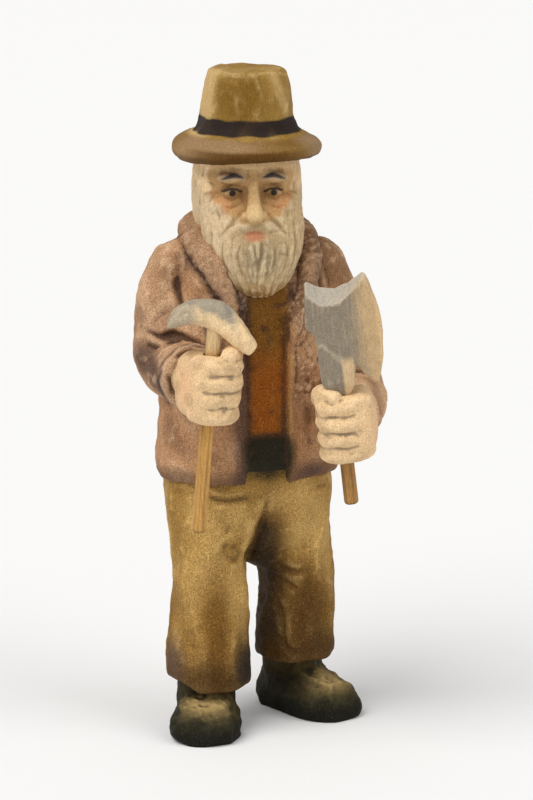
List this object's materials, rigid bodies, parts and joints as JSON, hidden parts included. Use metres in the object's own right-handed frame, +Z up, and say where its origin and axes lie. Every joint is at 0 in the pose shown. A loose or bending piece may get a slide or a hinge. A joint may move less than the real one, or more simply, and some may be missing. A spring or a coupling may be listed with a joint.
{
  "type": "carved wooden figurine",
  "caption": "Carved and painted standing woodcutter in hat and coat, gripping a removable log pick and broad axe on dowel handles; decorative figure.",
  "frame": {"origin": "on the ground, at the middle of the figure's bounding box", "axes": "+Z up, the coat faces -Y, the figure's right hand is at -X"},
  "size_m": [0.0705, 0.0691, 0.19],
  "materials": {
    "coat_wood": "matte stain",
    "skin_wood": "matte stain",
    "hat_wood": "matte stain",
    "trouser_wood": "matte stain",
    "boot_wood": "matte stain",
    "dowel": "bare",
    "tool_wood": "matte paint"
  },
  "bodies": {
    "figure": {"torso": "coat_wood", "right_arm": "coat_wood", "left_arm": "coat_wood", "head": "skin_wood", "right_hand": "skin_wood", "left_hand": "skin_wood", "hat": "hat_wood", "trousers": "trouser_wood", "right_boot": "boot_wood", "left_boot": "boot_wood", "hat_peg": "dowel", "right_waist_peg": "dowel", "left_waist_peg": "dowel", "right_shoulder_peg": "dowel", "left_shoulder_peg": "dowel", "right_ankle_peg": "dowel", "left_ankle_peg": "dowel"},
    "pick": {"pick_handle": "dowel", "pick_head": "tool_wood"},
    "axe": {"axe_handle": "dowel", "axe_head": "tool_wood"}
  },
  "joints": [
    {"name": "pick_slide", "type": "slide", "parent": "figure", "child": "pick", "axis": [0.06, -0.06, 0.9964], "range_m": [0, 0.048]},
    {"name": "axe_slide", "type": "slide", "parent": "figure", "child": "axe", "axis": [-0.15, -0.083, 0.9852], "range_m": [0, 0.03]}
  ]
}
